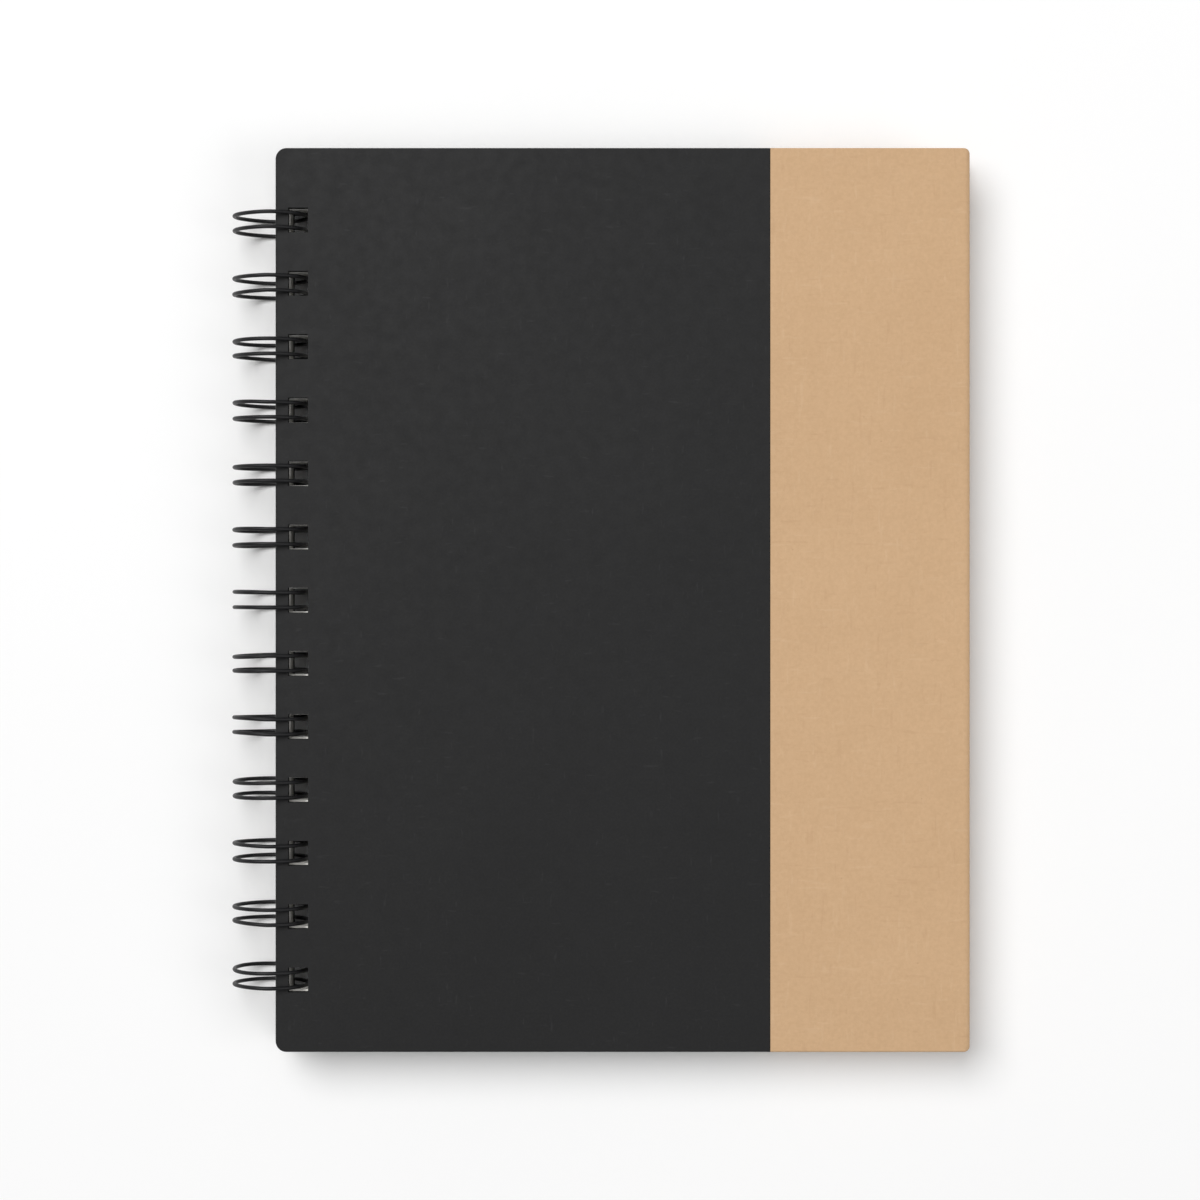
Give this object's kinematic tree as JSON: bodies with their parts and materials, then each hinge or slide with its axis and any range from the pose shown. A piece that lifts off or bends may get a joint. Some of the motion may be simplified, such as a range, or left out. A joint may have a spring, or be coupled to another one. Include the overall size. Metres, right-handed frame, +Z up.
{
  "type": "sketchbook",
  "caption": "Wire-bound hardcover sketchbook with black covers, a kraft strip along the fore-edge and thirteen twin wire loops.",
  "frame": {"origin": "bottom centre of the closed book's bounding box, lying flat with the front cover up", "axes": "+X from the binding to the fore-edge, +Y to the head, +Z up out of the front cover"},
  "size_m": [0.1486, 0.1816, 0.0158],
  "materials": {
    "black_paper": "matte",
    "kraft_paper": "matte",
    "black_board": "matte",
    "drawing_paper": "matte",
    "black_wire": "gloss"
  },
  "bodies": {
    "back_and_binding": {"back_board": "black_board", "back_black_wrap": "black_paper", "back_kraft_wrap": "kraft_paper", "back_lining": "black_paper", "resting_leaves_1": "drawing_paper", "resting_leaves_2": "drawing_paper", "resting_leaves_3": "drawing_paper", "resting_leaves_4": "drawing_paper", "wire_loop_01": "black_wire", "wire_loop_02": "black_wire", "wire_loop_03": "black_wire", "wire_loop_04": "black_wire", "wire_loop_05": "black_wire", "wire_loop_06": "black_wire", "wire_loop_07": "black_wire", "wire_loop_08": "black_wire", "wire_loop_09": "black_wire", "wire_loop_10": "black_wire", "wire_loop_11": "black_wire", "wire_loop_12": "black_wire", "wire_loop_13": "black_wire"},
    "front_cover": {"front_board": "black_board", "front_black_wrap": "black_paper", "front_kraft_wrap": "kraft_paper", "front_lining": "black_paper"},
    "turned_leaves_1": {"turned_leaves_1": "drawing_paper"},
    "turned_leaves_2": {"turned_leaves_2": "drawing_paper"},
    "turned_leaves_3": {"turned_leaves_3": "drawing_paper"},
    "turned_leaves_4": {"turned_leaves_4": "drawing_paper"}
  },
  "joints": [
    {"name": "front_cover_turn", "type": "hinge", "parent": "back_and_binding", "child": "front_cover", "pos_m": [-0.06645, 0, 0.0079], "axis": [0, -1, 0], "range_deg": [0, 180]},
    {"name": "turned_leaves_1_turn", "type": "hinge", "parent": "back_and_binding", "child": "turned_leaves_1", "pos_m": [-0.06645, 0, 0.0079], "axis": [0, -1, 0], "range_deg": [0, 178.2]},
    {"name": "turned_leaves_2_turn", "type": "hinge", "parent": "back_and_binding", "child": "turned_leaves_2", "pos_m": [-0.06645, 0, 0.0079], "axis": [0, -1, 0], "range_deg": [0, 176.4]},
    {"name": "turned_leaves_3_turn", "type": "hinge", "parent": "back_and_binding", "child": "turned_leaves_3", "pos_m": [-0.06645, 0, 0.0079], "axis": [0, -1, 0], "range_deg": [0, 174.6]},
    {"name": "turned_leaves_4_turn", "type": "hinge", "parent": "back_and_binding", "child": "turned_leaves_4", "pos_m": [-0.06645, 0, 0.0079], "axis": [0, -1, 0], "range_deg": [0, 172.8]}
  ],
  "couplings": [
    {"joint": "turned_leaves_1_turn", "follows": "front_cover_turn", "ratio": 0.99},
    {"joint": "turned_leaves_2_turn", "follows": "front_cover_turn", "ratio": 0.98},
    {"joint": "turned_leaves_3_turn", "follows": "front_cover_turn", "ratio": 0.97},
    {"joint": "turned_leaves_4_turn", "follows": "front_cover_turn", "ratio": 0.96}
  ]
}
